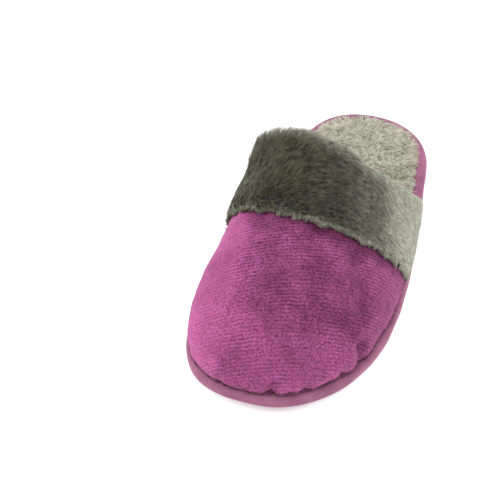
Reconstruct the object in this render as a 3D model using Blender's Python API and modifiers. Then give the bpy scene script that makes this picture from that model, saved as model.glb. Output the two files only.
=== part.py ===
"""A left indoor slipper: a backless mule with a padded velour vamp, a turned-down fur cuff,
a fur footbed and a fabric-wrapped platform on a thin rubber outsole.

Metres, +Z up. The toe points along -Y and the outer side of the foot is +X.
The origin is on the floor, under the middle of the slipper's own box.
"""

import math

import bmesh
import bpy
from mathutils import Vector

# Plan of the sole
LENGTH = 0.265
BALL_WIDTH = 0.1080
HEEL_WIDTH = 0.0834
BALL_AT = 0.313  # share of the length, from the toe
TOE_FULLNESS = 2.41  # exponent of the superellipse in front of the ball
HEEL_FULLNESS = 2.19
HEEL_REACH = 1.1  # how far the heel's round runs forward, in half heel widths
TOE_SWING = 0.0083  # the toe's tip leans to the inner side of the foot
TOE_SWING_EASE = 1.5
WAIST_BOW = 0.0042  # the waist bows to the outer side of the foot
OUTLINE_STEPS = 72

# Side view of the sole
TOE_SPRING = 0.0025
SPRING_FROM = 0.17  # share of the length where the toe leaves the floor
ARCH_LIFT = 0.001
ARCH_FROM = 0.46
ARCH_TO = 0.70

# Outsole
OUTSOLE_THICKNESS = 0.0026
OUTSOLE_INSET = 0.0045
OUTSOLE_SHOWS = 0.0010  # how far it stands below the wrapped platform
OUTSOLE_EDGE = 0.0006
GROOVE_WIDTH = 0.0026
GROOVE_DEPTH = 0.0009
GROOVE_PITCH = 0.0095
GROOVE_MARGIN = 0.008
FOREFOOT_GROOVES_FROM = 0.19
FOREFOOT_GROOVES_TO = 0.44
HEEL_GROOVES_FROM = 0.74
HEEL_GROOVES_TO = 0.93

# Platform, wrapped in cloth
PLATFORM_HEIGHT = 0.0094
PLATFORM_EDGE = 0.0022
LEDGE_WIDTH = 0.0070
SEAT_DEPTH = 0.0020

# Footbed
FOOTBED_CROWN = 0.0042
FOOTBED_EDGE = 0.0009

# Vamp
INSTEP_HEIGHT = 0.0675
VAMP_WALL = 0.0030
VAMP_INSET = 0.0020
THROAT_AT_TOP = 0.495
THROAT_AT_OUTER = 0.665
THROAT_AT_INNER = 0.585
THROAT_SWEEP = 1.25
VAMP_ROWS = 16
TURN_STEPS = 72  # steps round the foot, for vamp and cuff alike
TOE_CROWDING = 1.7  # packs the vamp's rows towards the toe

# Cuff
HEM_AT_TOP = 0.333
HEM_AT_OUTER = 0.433
HEM_AT_INNER = 0.415
HEM_SWEEP = 1.0
CUFF_PILE = 0.0062
LINING_PILE = 0.0036
TUCK = 0.0150  # how far the cuff's inner side reaches into the throat
END_PILE = 0.24  # share of the pile left where the cuff's ends are sewn to the ledge
END_RISE = 0.62  # share of the foot's height over which the pile fills out
LOCKS_ACROSS = 24
LOCK_TIERS = 3
LOCK_RISE = 0.0019
LOCK_TAPER = 0.6  # share of its rise that a lock loses from its tip to its root
LOCK_VARIETY = 0.55  # share of its rise that the smallest lock lacks
LOCK_BEAT = 2.4
HEM_RAGGED = 0.0040

# Air between pieces that touch
CLEARANCE = 0.0003
SEWN_CLEARANCE = 0.0004  # between the two curved skins of vamp and cuff

# The last, section by section. At is a share of the length from the toe, height a share of
# the instep height, lean and bulges shares of the ball width, fullness a superellipse exponent.
LAST_COLUMNS = ("at", "height", "lean", "full_out", "full_in", "bulge_out", "bulge_in")
LAST_ROWS = (
    (0.00, 0.00, 0.000, 2.10, 2.10, 0.000, 0.000),
    (0.01, 0.19, 0.000, 2.10, 2.15, 0.004, 0.006),
    (0.03, 0.31, 0.004, 2.10, 2.20, 0.010, 0.018),
    (0.06, 0.41, 0.010, 2.05, 2.25, 0.014, 0.030),
    (0.15, 0.57, 0.030, 1.90, 2.20, 0.018, 0.040),
    (0.28, 0.71, 0.065, 1.70, 2.10, 0.020, 0.045),
    (0.42, 0.87, 0.110, 1.55, 2.00, 0.016, 0.050),
    (0.52, 0.98, 0.140, 1.50, 2.00, 0.010, 0.045),
    (0.62, 1.06, 0.160, 1.50, 2.00, 0.010, 0.040),
    (0.80, 1.12, 0.170, 1.50, 2.00, 0.010, 0.040),
)

# The cuff's section, as a hook over the vamp's edge. Run goes from the hem, 0, to that edge, 1,
# and on the lining from its tucked end, 0, to the same edge. Over is the angle round the edge in
# degrees, 0 outside and 180 on the lining. Pile is a share of the fur's depth, and locks the
# share of the full lock relief.
HOOK_COLUMNS = ("run", "over", "pile", "locks")
HOOK_ROWS = (
    (0.00, 0, 0.30, 0.2),
    (0.02, 0, 0.72, 0.6),
    (0.12, 0, 0.92, 1.0),
    (0.23, 0, 1.00, 1.0),
    (0.34, 0, 1.04, 1.0),
    (0.45, 0, 1.06, 1.0),
    (0.56, 0, 1.06, 1.0),
    (0.67, 0, 1.06, 1.0),
    (0.78, 0, 1.05, 1.0),
    (0.89, 0, 1.03, 0.9),
    (1.00, 0, 1.02, 0.6),
    (1.00, 40, 1.00, 0.4),
    (1.00, 80, 1.00, 0.2),
    (1.00, 125, 1.00, 0.0),
    (1.00, 180, 1.00, 0.0),
    (0.45, 180, 0.90, 0.0),
    (0.06, 180, 0.60, 0.0),
)
BACKING_ROWS = (
    (0.0, 0),
    (0.2, 0),
    (0.4, 0),
    (0.6, 0),
    (0.8, 0),
    (1.0, 0),
    (1.0, 180),
    (0.5, 180),
    (0.0, 180),
)

# Round of the platform's upper edge, from its side to its top: inset and depth below the top,
# both as shares of PLATFORM_EDGE. The lower edge is the same round, turned over.
EDGE_COLUMNS = ("inset", "depth")
EDGE_ROWS = (
    (0.00, 1.25),
    (0.12, 0.65),
    (0.42, 0.20),
    (0.85, 0.00),
)

# Crown of the footbed: how far each ring is drawn in to the middle, as a share of the footbed's
# own edge, and its height as a share of FOOTBED_CROWN.
CROWN_COLUMNS = ("reach", "height")
CROWN_ROWS = (
    (0.93, 0.62),
    (0.80, 0.88),
    (0.58, 1.00),
)

# Steps over which the last's slope is measured, and how near to its ends that is done
SLOPE_SHARE = 0.003
SLOPE_TURN = 0.02
TOE_TIP_SHARE = 0.004

MATERIALS = {
    "outsole_rubber": ((0.20, 0.10, 0.15, 1.0), 0.75),
    "wrap_suede": ((0.42, 0.13, 0.25, 1.0), 0.85),
    "footbed_fur": ((0.47, 0.45, 0.34, 1.0), 0.95),
    "vamp_velour": ((0.42, 0.09, 0.27, 1.0), 0.90),
    "cuff_fur": ((0.16, 0.15, 0.10, 1.0), 0.95),
}


def clear_scene():
    """Empties the file that the script runs in."""
    for thing in list(bpy.data.objects):
        bpy.data.objects.remove(thing, do_unlink=True)


def material(name):
    """A Principled material in the colour and roughness of that finish."""
    colour, roughness = MATERIALS[name]
    made = bpy.data.materials.new(name)
    made.use_nodes = True
    shader = made.node_tree.nodes["Principled BSDF"]
    shader.inputs["Base Color"].default_value = colour
    shader.inputs["Roughness"].default_value = roughness
    shader.inputs["Metallic"].default_value = 0.0
    made.diffuse_color = colour
    return made


def centre_line(share):
    """X of the sole's middle at a share of the length from the toe."""
    swing = TOE_SWING * max(0.0, 1 - share / BALL_AT) ** TOE_SWING_EASE
    return WAIST_BOW * math.sin(math.pi * share) - swing


def half_width(share):
    """Half the sole's width at a share of the length from the toe."""
    if share <= BALL_AT:
        rest = (1 - share / BALL_AT) ** TOE_FULLNESS
        return BALL_WIDTH / 2 * (1 - rest) ** (1 / TOE_FULLNESS)
    run = min(1.0, (share - BALL_AT) / (1 - BALL_AT))
    ease = run * run * (3 - 2 * run)
    width = (BALL_WIDTH + (HEEL_WIDTH - BALL_WIDTH) * ease) / 2
    heel_run = HEEL_REACH * HEEL_WIDTH / 2 / (LENGTH * (1 - BALL_AT))
    round_off = max(0.0, (run - 1 + heel_run) / heel_run)
    return width * (1 - round_off**HEEL_FULLNESS) ** (1 / HEEL_FULLNESS)


def lift(share):
    """How far toe spring and arch raise everything at a share of the length."""
    if share < SPRING_FROM:
        return TOE_SPRING * (1 - share / SPRING_FROM) ** 2
    if ARCH_FROM < share < ARCH_TO:
        run = (share - ARCH_FROM) / (ARCH_TO - ARCH_FROM)
        return ARCH_LIFT * math.sin(math.pi * run) ** 2
    return 0.0


def sprung(point):
    """The point after the sole's toe spring and arch have raised it."""
    share = min(1.0, max(0.0, point.y / LENGTH + 0.5))
    return Vector((point.x, point.y, point.z + lift(share)))


def outline(inset):
    """The sole's outline moved in by inset, as a ring of points from the toe round to the toe."""
    ring = []
    for step in range(OUTLINE_STEPS):
        angle = 2 * math.pi * step / OUTLINE_STEPS
        share = (1 - math.cos(angle)) / 2
        side = 1 if math.sin(angle) >= 0 else -1
        x = centre_line(share) + side * half_width(share)
        ring.append(Vector((x, (share - 0.5) * LENGTH, 0.0)))
    moved = []
    for step, point in enumerate(ring):
        ahead = ring[(step + 1) % OUTLINE_STEPS]
        along = (ahead - ring[step - 1]).normalized()
        moved.append(point + Vector((-along.y, along.x, 0.0)) * inset)
    return moved


def level(ring, height):
    """A copy of the ring at that height."""
    return [Vector((point.x, point.y, height)) for point in ring]


def drawn_in(ring, share, height):
    """A smaller copy of the ring, drawn in towards the sole's own middle line."""
    copy = []
    for point in ring:
        middle = centre_line(point.y / LENGTH + 0.5)
        copy.append(Vector((middle + (point.x - middle) * share, point.y * share, height)))
    return copy


def new_object(name, mesh_data, finish, collection):
    """Links a mesh as one named part of the slipper, shaded smooth between its sharp edges."""
    mesh = bpy.data.meshes.new(name)
    bmesh.ops.recalc_face_normals(mesh_data, faces=mesh_data.faces)
    mesh_data.to_mesh(mesh)
    mesh_data.free()
    mesh.shade_smooth()
    mesh.set_sharp_from_angle(angle=math.radians(40))
    thing = bpy.data.objects.new(name, mesh)
    thing.data.materials.append(material(finish))
    collection.objects.link(thing)
    return thing


def skin_rings(mesh_data, rings, closed):
    """Makes a band of quads between each ring of points and the next, and returns the vertices."""
    rows = [[mesh_data.verts.new(point) for point in ring] for ring in rings]
    count = len(rings[0])
    for row, following in zip(rows, rows[1:]):
        for step in range(count if closed else count - 1):
            ahead = (step + 1) % count
            mesh_data.faces.new((row[step], row[ahead], following[ahead], following[step]))
    return rows


def cap_across(mesh_data, row):
    """Closes an outline with strips that run straight across the sole, so lift stays true."""
    count = len(row)
    mesh_data.faces.new((row[0], row[1], row[-1]))
    for step in range(1, count // 2 - 1):
        mesh_data.faces.new((row[step], row[step + 1], row[-step - 1], row[-step]))
    mesh_data.faces.new((row[count // 2 - 1], row[count // 2], row[count // 2 + 1]))


def slab(name, rings, finish, collection):
    """A closed slab of the sole, from its lowest ring to the last one inside its top."""
    mesh_data = bmesh.new()
    rows = skin_rings(mesh_data, [[sprung(p) for p in ring] for ring in rings], True)
    cap_across(mesh_data, rows[0])
    cap_across(mesh_data, rows[-1])
    return new_object(name, mesh_data, finish, collection)


def groove_cutters(cutters):
    """The bars that cut the outsole's tread grooves, one object for each groove."""
    bars = []
    zones = (
        (FOREFOOT_GROOVES_FROM, FOREFOOT_GROOVES_TO),
        (HEEL_GROOVES_FROM, HEEL_GROOVES_TO),
    )
    for start, end in zones:
        count = int((end - start) * LENGTH / GROOVE_PITCH) + 1
        middle = (start + end) / 2
        for step in range(count):
            share = middle + (step - (count - 1) / 2) * GROOVE_PITCH / LENGTH
            reach = half_width(share) - OUTSOLE_INSET - GROOVE_MARGIN
            bpy.ops.mesh.primitive_cube_add(
                size=1,
                location=(centre_line(share), (share - 0.5) * LENGTH, 0.0),
                scale=(2 * reach, GROOVE_WIDTH, 2 * GROOVE_DEPTH),
            )
            bar = bpy.context.object
            bar.name = f"groove_cutter_{len(bars)}"
            bpy.ops.object.transform_apply(location=False, rotation=False, scale=True)
            bar.hide_render = True
            bar.display_type = "WIRE"
            for owner in list(bar.users_collection):
                owner.objects.unlink(bar)
            cutters.objects.link(bar)
            bars.append(bar)
    return bars


def make_outsole(collection, cutters):
    """The thin rubber outsole, with cross grooves under the forefoot and the heel."""
    edge = outline(OUTSOLE_INSET)
    rings = (
        level(outline(OUTSOLE_INSET + OUTSOLE_EDGE), 0.0),
        level(edge, OUTSOLE_EDGE),
        level(edge, OUTSOLE_THICKNESS),
    )
    outsole = slab("outsole", rings, "outsole_rubber", collection)
    groove_cutters(cutters)
    cut = outsole.modifiers.new("tread grooves", "BOOLEAN")
    cut.operation = "DIFFERENCE"
    cut.solver = "EXACT"
    cut.operand_type = "COLLECTION"
    cut.collection = cutters
    return outsole


def ledge_height():
    """Height of the ledge that the vamp is sewn to."""
    return OUTSOLE_SHOWS + PLATFORM_HEIGHT


def make_platform(collection):
    """The foam platform in its cloth wrap, with a seat for the outsole and one for the footbed."""
    low = OUTSOLE_SHOWS
    top = ledge_height()
    outsole_seat = outline(OUTSOLE_INSET - CLEARANCE)
    footbed_seat = outline(LEDGE_WIDTH)
    upper_edge = []
    lower_edge = []
    for inset, depth in EDGE_ROWS:
        ring = outline(PLATFORM_EDGE * inset)
        upper_edge.append(level(ring, top - PLATFORM_EDGE * depth))
        lower_edge.append(level(ring, low + PLATFORM_EDGE * depth))
    rings = [
        level(outsole_seat, OUTSOLE_THICKNESS + CLEARANCE),
        level(outsole_seat, low),
        *reversed(lower_edge),
        *upper_edge,
        level(footbed_seat, top),
        level(footbed_seat, top - SEAT_DEPTH),
    ]
    return slab("midsole", rings, "wrap_suede", collection)


def make_footbed(collection):
    """The padded fur footbed, crowned along its middle, in the platform's seat."""
    edge = outline(LEDGE_WIDTH + CLEARANCE)
    top = ledge_height()
    rings = [
        level(edge, top - SEAT_DEPTH + CLEARANCE),
        level(edge, top),
        level(outline(LEDGE_WIDTH + CLEARANCE + FOOTBED_EDGE), top + FOOTBED_EDGE),
    ]
    for reach, height in CROWN_ROWS:
        rings.append(drawn_in(edge, reach, top + FOOTBED_CROWN * height))
    return slab("insole", rings, "footbed_fur", collection)


def last_value(share, column):
    """A column of the last's table at a share of the length, on a smooth curve through its rows.

    The curve runs over the square root of the share, so the toe rises steeply and round.
    """
    place = LAST_COLUMNS.index(column)
    stops = [(math.sqrt(row[0]), row[place]) for row in LAST_ROWS]
    here = math.sqrt(min(LAST_ROWS[-1][0], max(0.0, share)))
    index = max(i for i in range(len(stops) - 1) if stops[i][0] <= here)
    (x0, y0), (x1, y1) = stops[index], stops[index + 1]
    slope = (y1 - y0) / (x1 - x0)
    before = stops[index - 1] if index else stops[index]
    after = stops[min(index + 2, len(stops) - 1)]
    start = (y1 - before[1]) / (x1 - before[0]) if index else slope
    end = (after[1] - y0) / (after[0] - x0)
    run = (here - x0) / (x1 - x0)
    width = x1 - x0
    return (
        (2 * run**3 - 3 * run**2 + 1) * y0
        + (run**3 - 2 * run**2 + run) * width * start
        + (3 * run**2 - 2 * run**3) * y1
        + (run**3 - run**2) * width * end
    )


def last_surface(share, turn):
    """A point on the last. Turn runs from 0 at the outer side over the instep to pi inside."""
    outer = math.cos(turn) >= 0
    side = 1 if outer else -1
    lean = last_value(share, "lean") * BALL_WIDTH
    full = last_value(share, "full_out" if outer else "full_in")
    bulge = last_value(share, "bulge_out" if outer else "bulge_in") * BALL_WIDTH
    reach = max(0.0, half_width(share) - VAMP_INSET) + side * lean
    across = reach * abs(math.cos(turn)) ** (2 / full) + bulge * abs(math.sin(2 * turn))
    rise = last_value(share, "height") * INSTEP_HEIGHT * math.sin(turn) ** (2 / full)
    x = centre_line(share) - lean + side * across
    return Vector((x, (share - 0.5) * LENGTH, ledge_height() + CLEARANCE + rise))


def last_point(share, turn, offset):
    """A point at a distance outside the last, or inside it where the offset is negative."""
    near = max(share, TOE_TIP_SHARE)
    bend = min(math.pi - SLOPE_TURN, max(SLOPE_TURN, turn))
    along = last_surface(near + SLOPE_SHARE, bend) - last_surface(near - SLOPE_SHARE, bend)
    over = last_surface(near, bend + SLOPE_TURN) - last_surface(near, bend - SLOPE_TURN)
    normal = along.cross(over).normalized()
    return last_surface(share, turn) + normal * offset


def throat(turn):
    """Share of the length where the vamp ends, at a turn round the foot."""
    side = THROAT_AT_OUTER if math.cos(turn) >= 0 else THROAT_AT_INNER
    return side + (THROAT_AT_TOP - side) * math.sin(turn) ** THROAT_SWEEP


def hem(turn):
    """Share of the length where the cuff's free edge lies on the vamp."""
    side = HEM_AT_OUTER if math.cos(turn) >= 0 else HEM_AT_INNER
    return side + (HEM_AT_TOP - side) * math.sin(turn) ** HEM_SWEEP


def turns():
    """The turns round the foot at which vamp and cuff have their vertices."""
    return [math.pi * step / TURN_STEPS for step in range(TURN_STEPS + 1)]


def make_vamp(collection):
    """The vamp: one shell over the toes, open at the throat and underneath."""
    mesh_data = bmesh.new()
    rows = []
    for row in range(1, VAMP_ROWS + 1):
        depth = (row / VAMP_ROWS) ** TOE_CROWDING
        rows.append([sprung(last_surface(depth * throat(turn), turn)) for turn in turns()])
    skinned = skin_rings(mesh_data, rows, False)
    tip = mesh_data.verts.new(sprung(last_surface(0.0, math.pi / 2)))
    for near, ahead in zip(skinned[0], skinned[0][1:]):
        mesh_data.faces.new((tip, near, ahead))
    vamp = new_object("upper", mesh_data, "vamp_velour", collection)
    wall = vamp.modifiers.new("wall", "SOLIDIFY")
    wall.thickness = VAMP_WALL
    wall.offset = -1.0
    wall.use_even_offset = True
    return vamp


def end_pile(turn):
    """Share of the pile's depth at a turn, less where the cuff's ends are sewn down."""
    ease = min(1.0, max(0.0, math.sin(turn)) / END_RISE)
    return END_PILE + (1 - END_PILE) * ease * ease * (3 - 2 * ease)


def lock_relief(column, run):
    """Height of the fur's locks, from 0 to 1: tiers of pointed locks that lie like shingles."""
    tier = run * LOCK_TIERS
    stagger = 0.5 * (int(tier) % 2)
    place = column * LOCKS_ACROSS / TURN_STEPS + stagger
    from_spine = abs(place - round(place)) * 2
    size = 1 - LOCK_VARIETY * (0.5 + 0.5 * math.sin(LOCK_BEAT * (round(place) + 3 * int(tier))))
    return size * max(0.0, 1 - from_spine) * (1 - LOCK_TAPER * (tier - int(tier)))


def hook_point(column, run, over, pile=0.0, locks=0.0):
    """A point of the cuff's section at one column of vertices; pile 0 is its backing."""
    turn = turns()[column]
    angle = math.radians(over)
    inward = over / 180
    start = throat(turn) - TUCK / LENGTH if over > 90 else hem(turn)
    if over <= 90:
        start -= HEM_RAGGED / LENGTH * lock_relief(column, 0.0) * (1 - run)
    depth = (CUFF_PILE + (LINING_PILE - CUFF_PILE) * inward) * pile
    depth += LOCK_RISE * locks * lock_relief(column, run)
    depth *= end_pile(turn)
    past = SEWN_CLEARANCE if run == 1.0 else 0.0
    share = start + (throat(turn) - start) * run + (past + depth * math.sin(angle)) / LENGTH
    backing = SEWN_CLEARANCE - (VAMP_WALL + 2 * SEWN_CLEARANCE) * inward
    point = last_point(share, turn, backing + depth * math.cos(angle))
    seat = ledge_height() + CLEARANCE
    point.z = seat if column in (0, TURN_STEPS) else max(seat, point.z)
    return sprung(point)


def place_on_hook(run, over):
    """How far along the hook a row lies: 0 at the hem, 1 to 2 round the edge, 3 inside."""
    return 3 - run if over == 180 else run + over / 180


def close_end(mesh_data, pile, backing):
    """Closes one end of the hook with triangles between its pile and its backing."""
    pile_places = [place_on_hook(run, over) for run, over, _, _ in HOOK_ROWS]
    backing_places = [place_on_hook(run, over) for run, over in BACKING_ROWS]
    here, there = 0, 0
    while here + 1 < len(pile) or there + 1 < len(backing):
        at_pile_end = here + 1 == len(pile)
        at_backing_end = there + 1 == len(backing)
        if at_backing_end or not at_pile_end and pile_places[here + 1] <= backing_places[there + 1]:
            mesh_data.faces.new((pile[here], pile[here + 1], backing[there]))
            here += 1
        else:
            mesh_data.faces.new((pile[here], backing[there + 1], backing[there]))
            there += 1


def make_cuff(collection):
    """The fur cuff: turned down over the vamp, rolled round its edge and tucked inside."""
    rings = []
    for column in range(TURN_STEPS + 1):
        ring = [hook_point(column, **dict(zip(HOOK_COLUMNS, row))) for row in HOOK_ROWS]
        ring += [hook_point(column, run, over) for run, over in reversed(BACKING_ROWS)]
        rings.append(ring)
    mesh_data = bmesh.new()
    rows = skin_rings(mesh_data, rings, True)
    for row in (rows[0], rows[-1]):
        close_end(mesh_data, row[: len(HOOK_ROWS)], row[: len(HOOK_ROWS) - 1 : -1])
    return new_object("cuff", mesh_data, "cuff_fur", collection)


def centre_on_origin(frame, collection):
    """Moves the frame so that the origin lies under the middle of the parts' common box."""
    bpy.context.view_layer.update()
    graph = bpy.context.evaluated_depsgraph_get()
    points = []
    for thing in [each for each in collection.objects if each.type == "MESH"]:
        shown = thing.evaluated_get(graph)
        points += [shown.matrix_world @ vertex.co for vertex in shown.data.vertices]
    for axis in (0, 1):
        places = [point[axis] for point in points]
        frame.location[axis] -= (min(places) + max(places)) / 2


def build():
    """Builds the slipper, part by part, and stands it over the origin."""
    clear_scene()
    parts = bpy.data.collections.new("slipper")
    cutters = bpy.data.collections.new("slipper_cutters")
    for group in (parts, cutters):
        bpy.context.scene.collection.children.link(group)
    make_outsole(parts, cutters)
    make_platform(parts)
    make_footbed(parts)
    make_vamp(parts)
    make_cuff(parts)
    frame = bpy.data.objects.new("slipper_frame", None)
    parts.objects.link(frame)
    for thing in [*parts.objects, *cutters.objects]:
        if thing is not frame:
            thing.parent = frame
    centre_on_origin(frame, parts)


build()
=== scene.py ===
# %% [markdown]
# # A plush indoor slipper
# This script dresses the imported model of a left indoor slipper: a magenta ribbed velour vamp,
# a turned-down fur cuff, a fur footbed, a sole wrapped in suede-like cloth and a rubber outsole.
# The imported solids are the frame. They give every place and size, in metres, with the toe
# towards -Y, the heel towards +Y and the outer side of the foot towards +X.

import math

import bpy
import numpy as np
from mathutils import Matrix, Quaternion, Vector
from mathutils.bvhtree import BVHTree
from mathutils.kdtree import KDTree


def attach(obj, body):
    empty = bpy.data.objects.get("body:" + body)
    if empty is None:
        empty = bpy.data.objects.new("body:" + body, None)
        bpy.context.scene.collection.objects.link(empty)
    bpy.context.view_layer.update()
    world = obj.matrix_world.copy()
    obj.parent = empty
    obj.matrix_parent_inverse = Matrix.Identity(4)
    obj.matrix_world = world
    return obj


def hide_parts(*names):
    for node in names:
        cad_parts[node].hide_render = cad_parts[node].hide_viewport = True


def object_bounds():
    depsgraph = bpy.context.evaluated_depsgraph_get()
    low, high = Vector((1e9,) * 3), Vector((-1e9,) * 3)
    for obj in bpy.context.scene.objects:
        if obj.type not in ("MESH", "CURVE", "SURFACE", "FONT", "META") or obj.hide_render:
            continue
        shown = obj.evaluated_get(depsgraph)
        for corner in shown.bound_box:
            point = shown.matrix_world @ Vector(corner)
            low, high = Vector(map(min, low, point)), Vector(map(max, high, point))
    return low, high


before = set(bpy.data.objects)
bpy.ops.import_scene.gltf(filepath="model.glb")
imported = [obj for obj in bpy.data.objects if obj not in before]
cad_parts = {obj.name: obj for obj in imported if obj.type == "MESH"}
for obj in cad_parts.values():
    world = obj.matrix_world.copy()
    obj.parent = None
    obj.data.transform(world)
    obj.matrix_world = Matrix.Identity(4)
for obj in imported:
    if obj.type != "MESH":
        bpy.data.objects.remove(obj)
cad_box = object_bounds()
LENGTH = cad_box[1].y - cad_box[0].y
print("nodes:", sorted(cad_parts), "length:", round(LENGTH, 4))

# %% [markdown]
# ## Floor, light and camera
# The photograph shows the slipper on white in soft, almost shadowless light. A camera 55 cm away
# with a 64 mm lens sees it from above the toe. A bright, even world gives the soft fill, and three
# large lamps behind and beside the slipper brighten its edges, as white studio walls do. A picture
# of a studio round the scene could light it too, but lamps need no file and are easy to move.

# %% Set up camera, floor and lights
AZIMUTH, ELEVATION, ROLL = math.radians(19.30), math.radians(43.98), math.radians(0.60)
AIM = Vector((-0.04341, -0.01914, 0.0))
DISTANCE = 0.5494
LENS = 64.04  # mm
WORLD_LIGHT = 0.50


def deselect_all():
    """Leaves nothing selected, in object mode."""
    if bpy.context.object and bpy.context.object.mode != "OBJECT":
        bpy.ops.object.mode_set(mode="OBJECT")
    bpy.ops.object.select_all(action="DESELECT")


def seen_from(azimuth, elevation):
    """The direction from the slipper to a viewer."""
    flat = math.cos(elevation)
    return Vector((math.sin(azimuth) * flat, -math.cos(azimuth) * flat, math.sin(elevation)))


deselect_all()
back = seen_from(AZIMUTH, ELEVATION)
bpy.ops.object.camera_add(location=AIM + back * DISTANCE)
camera = bpy.context.object
camera.rotation_mode = "QUATERNION"
camera.rotation_quaternion = (-back).to_track_quat("-Z", "Y") @ Quaternion((0, 0, 1), ROLL)
camera.data.lens = LENS
camera.data.clip_start = 0.01
bpy.context.scene.camera = camera
bpy.context.scene.view_settings.view_transform = "Standard"

deselect_all()
bpy.ops.mesh.primitive_plane_add(size=6)
floor = bpy.context.object
floor.name = "floor"

world = bpy.data.worlds.new("studio")
world.use_nodes = True
world.node_tree.nodes["Background"].inputs["Color"].default_value = (1.0, 1.0, 1.0, 1.0)
world.node_tree.nodes["Background"].inputs["Strength"].default_value = WORLD_LIGHT
bpy.context.scene.world = world

LAMPS = (  # azimuth, elevation, distance, size, watts
    (115, 38, 1.2, 0.8, 7.5),
    (-78, 30, 1.2, 0.8, 11.0),
    (10, 80, 1.4, 1.0, 3.0),
)
for azimuth, elevation, distance, size, watts in LAMPS:
    way = seen_from(math.radians(azimuth), math.radians(elevation))
    bpy.ops.object.light_add(type="AREA", location=way * distance)
    lamp = bpy.context.object
    lamp.rotation_mode = "QUATERNION"
    lamp.rotation_quaternion = (-way).to_track_quat("-Z", "Y")
    lamp.data.size = size
    lamp.data.energy = watts
print("lamps:", len(LAMPS))

# %% [markdown]
# ## A short way to write materials
# A material is a graph of nodes. Written out node by node it is long, so one small class wraps
# an output socket and lets Python's own signs add the Math nodes: 1 - mask or fine * 0.4.


# %% Sockets that can be added and multiplied
class Wire:
    """An output socket of a material, with Python's arithmetic."""

    def __init__(self, socket):
        self.socket = socket

    def node(self, kind, settings=(), sockets=(), out=0):
        """Adds a node: its settings first, then the values or wires of its inputs."""
        tree = self.socket.id_data
        made = tree.nodes.new(kind)
        for name, value in dict(settings).items():
            setattr(made, name, value)
        for name, value in dict(sockets).items():
            if isinstance(value, Wire):
                tree.links.new(value.socket, made.inputs[name])
            else:
                made.inputs[name].default_value = value
        return Wire(made.outputs[out])

    def maths(self, operation, *values):
        """A Math node on numbers or wires."""
        return self.node("ShaderNodeMath", {"operation": operation}, dict(enumerate(values)))

    def __add__(self, other):
        return self.maths("ADD", self, other)

    def __sub__(self, other):
        return self.maths("SUBTRACT", self, other)

    def __rsub__(self, other):
        return self.maths("SUBTRACT", other, self)

    def __mul__(self, other):
        return self.maths("MULTIPLY", self, other)

    __radd__ = __add__
    __rmul__ = __mul__

    def clipped(self, low, high):
        """0 up to low, 1 from high, and smooth between."""
        settings = {"interpolation_type": "SMOOTHSTEP"}
        sockets = {"Value": self, "From Min": low, "From Max": high}
        return self.node("ShaderNodeMapRange", settings, sockets)

    def mix(self, first, second):
        """Two colours, mixed by this wire."""
        first, second = (c if isinstance(c, Wire) else (*c, 1.0) for c in (first, second))
        sockets = {0: self, 6: first, 7: second}
        return self.node("ShaderNodeMix", {"data_type": "RGBA"}, sockets, out=2)

    def times(self, colour):
        """This colour, multiplied by another."""
        settings = {"data_type": "RGBA", "blend_type": "MULTIPLY"}
        return self.node("ShaderNodeMix", settings, {0: 1.0, 6: self, 7: colour}, out=2)

    def noise(self, scale, detail=2.0, roughness=0.5):
        """Noise from 0 to 1 over this place, with features 1 / scale metres apart."""
        sockets = {"Vector": self, "Scale": scale, "Detail": detail, "Roughness": roughness}
        return self.node("ShaderNodeTexNoise", (), sockets)

    def stretched(self, x, y, z):
        """This place, scaled along each axis."""
        return self.node("ShaderNodeVectorMath", {"operation": "MULTIPLY"}, {0: self, 1: (x, y, z)})

    def part(self, axis):
        """X, Y or Z of this place, by number."""
        return self.node("ShaderNodeSeparateXYZ", (), {0: self}, out=axis)

    def bump(self, height, distance, strength):
        """The shader's normal, tilted as if the surface had this height."""
        sockets = {"Height": height, "Distance": distance, "Strength": strength}
        return self.node("ShaderNodeBump", (), sockets)


def new_finish(name, attribute=None):
    """A new material with its shader, the place on the object and the piece's own attribute."""
    made = bpy.data.materials.new(name)
    made.use_nodes = True
    shader = made.node_tree.nodes["Principled BSDF"]
    place = Wire(made.node_tree.nodes.new("ShaderNodeTexCoord").outputs["Object"])
    own = None
    if attribute:
        own = place.node("ShaderNodeAttribute", {"attribute_name": attribute}, out=1)
    return made, shader, place, own


def feed(shader, name, value):
    """Links a wire to one of the shader's inputs."""
    shader.id_data.links.new(value.socket, shader.inputs[name])


# %% [markdown]
# ### The floor
# Plain white acrylic, lit a little from below as on a light table, so it shows only a faint
# shadow. With no floor at all the slipper would seem to float.

# %% Paint the floor
paper, shader, place, _ = new_finish("floor_paper")
feed(shader, "Base Color", place.noise(3.0).mix((0.93, 0.93, 0.93), (0.95, 0.95, 0.95)))
shader.inputs["Roughness"].default_value = 0.9
shader.inputs["Emission Color"].default_value = (1.0, 1.0, 1.0, 1.0)
shader.inputs["Emission Strength"].default_value = 0.43
floor.data.materials.append(paper)
print("floor:", paper.name)

# %% [markdown]
# ## Tools for soft pieces
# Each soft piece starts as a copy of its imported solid, so it sits exactly where the solid does.
# The copy's loose triangles are merged, turned into quads and smoothed by a Subdivision Surface.
# Then its points are moved by furrows and swellings. A sculpting brush could do that too, but it
# needs a hand and a window, and moves written in code come out the same on every run.


# %% Copy a solid, and read and write its points
WELD = 0.000002  # points closer than this are one


def pick(piece):
    """Makes a piece the only selected and the active one."""
    deselect_all()
    piece.select_set(True)
    bpy.context.view_layer.objects.active = piece


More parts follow.
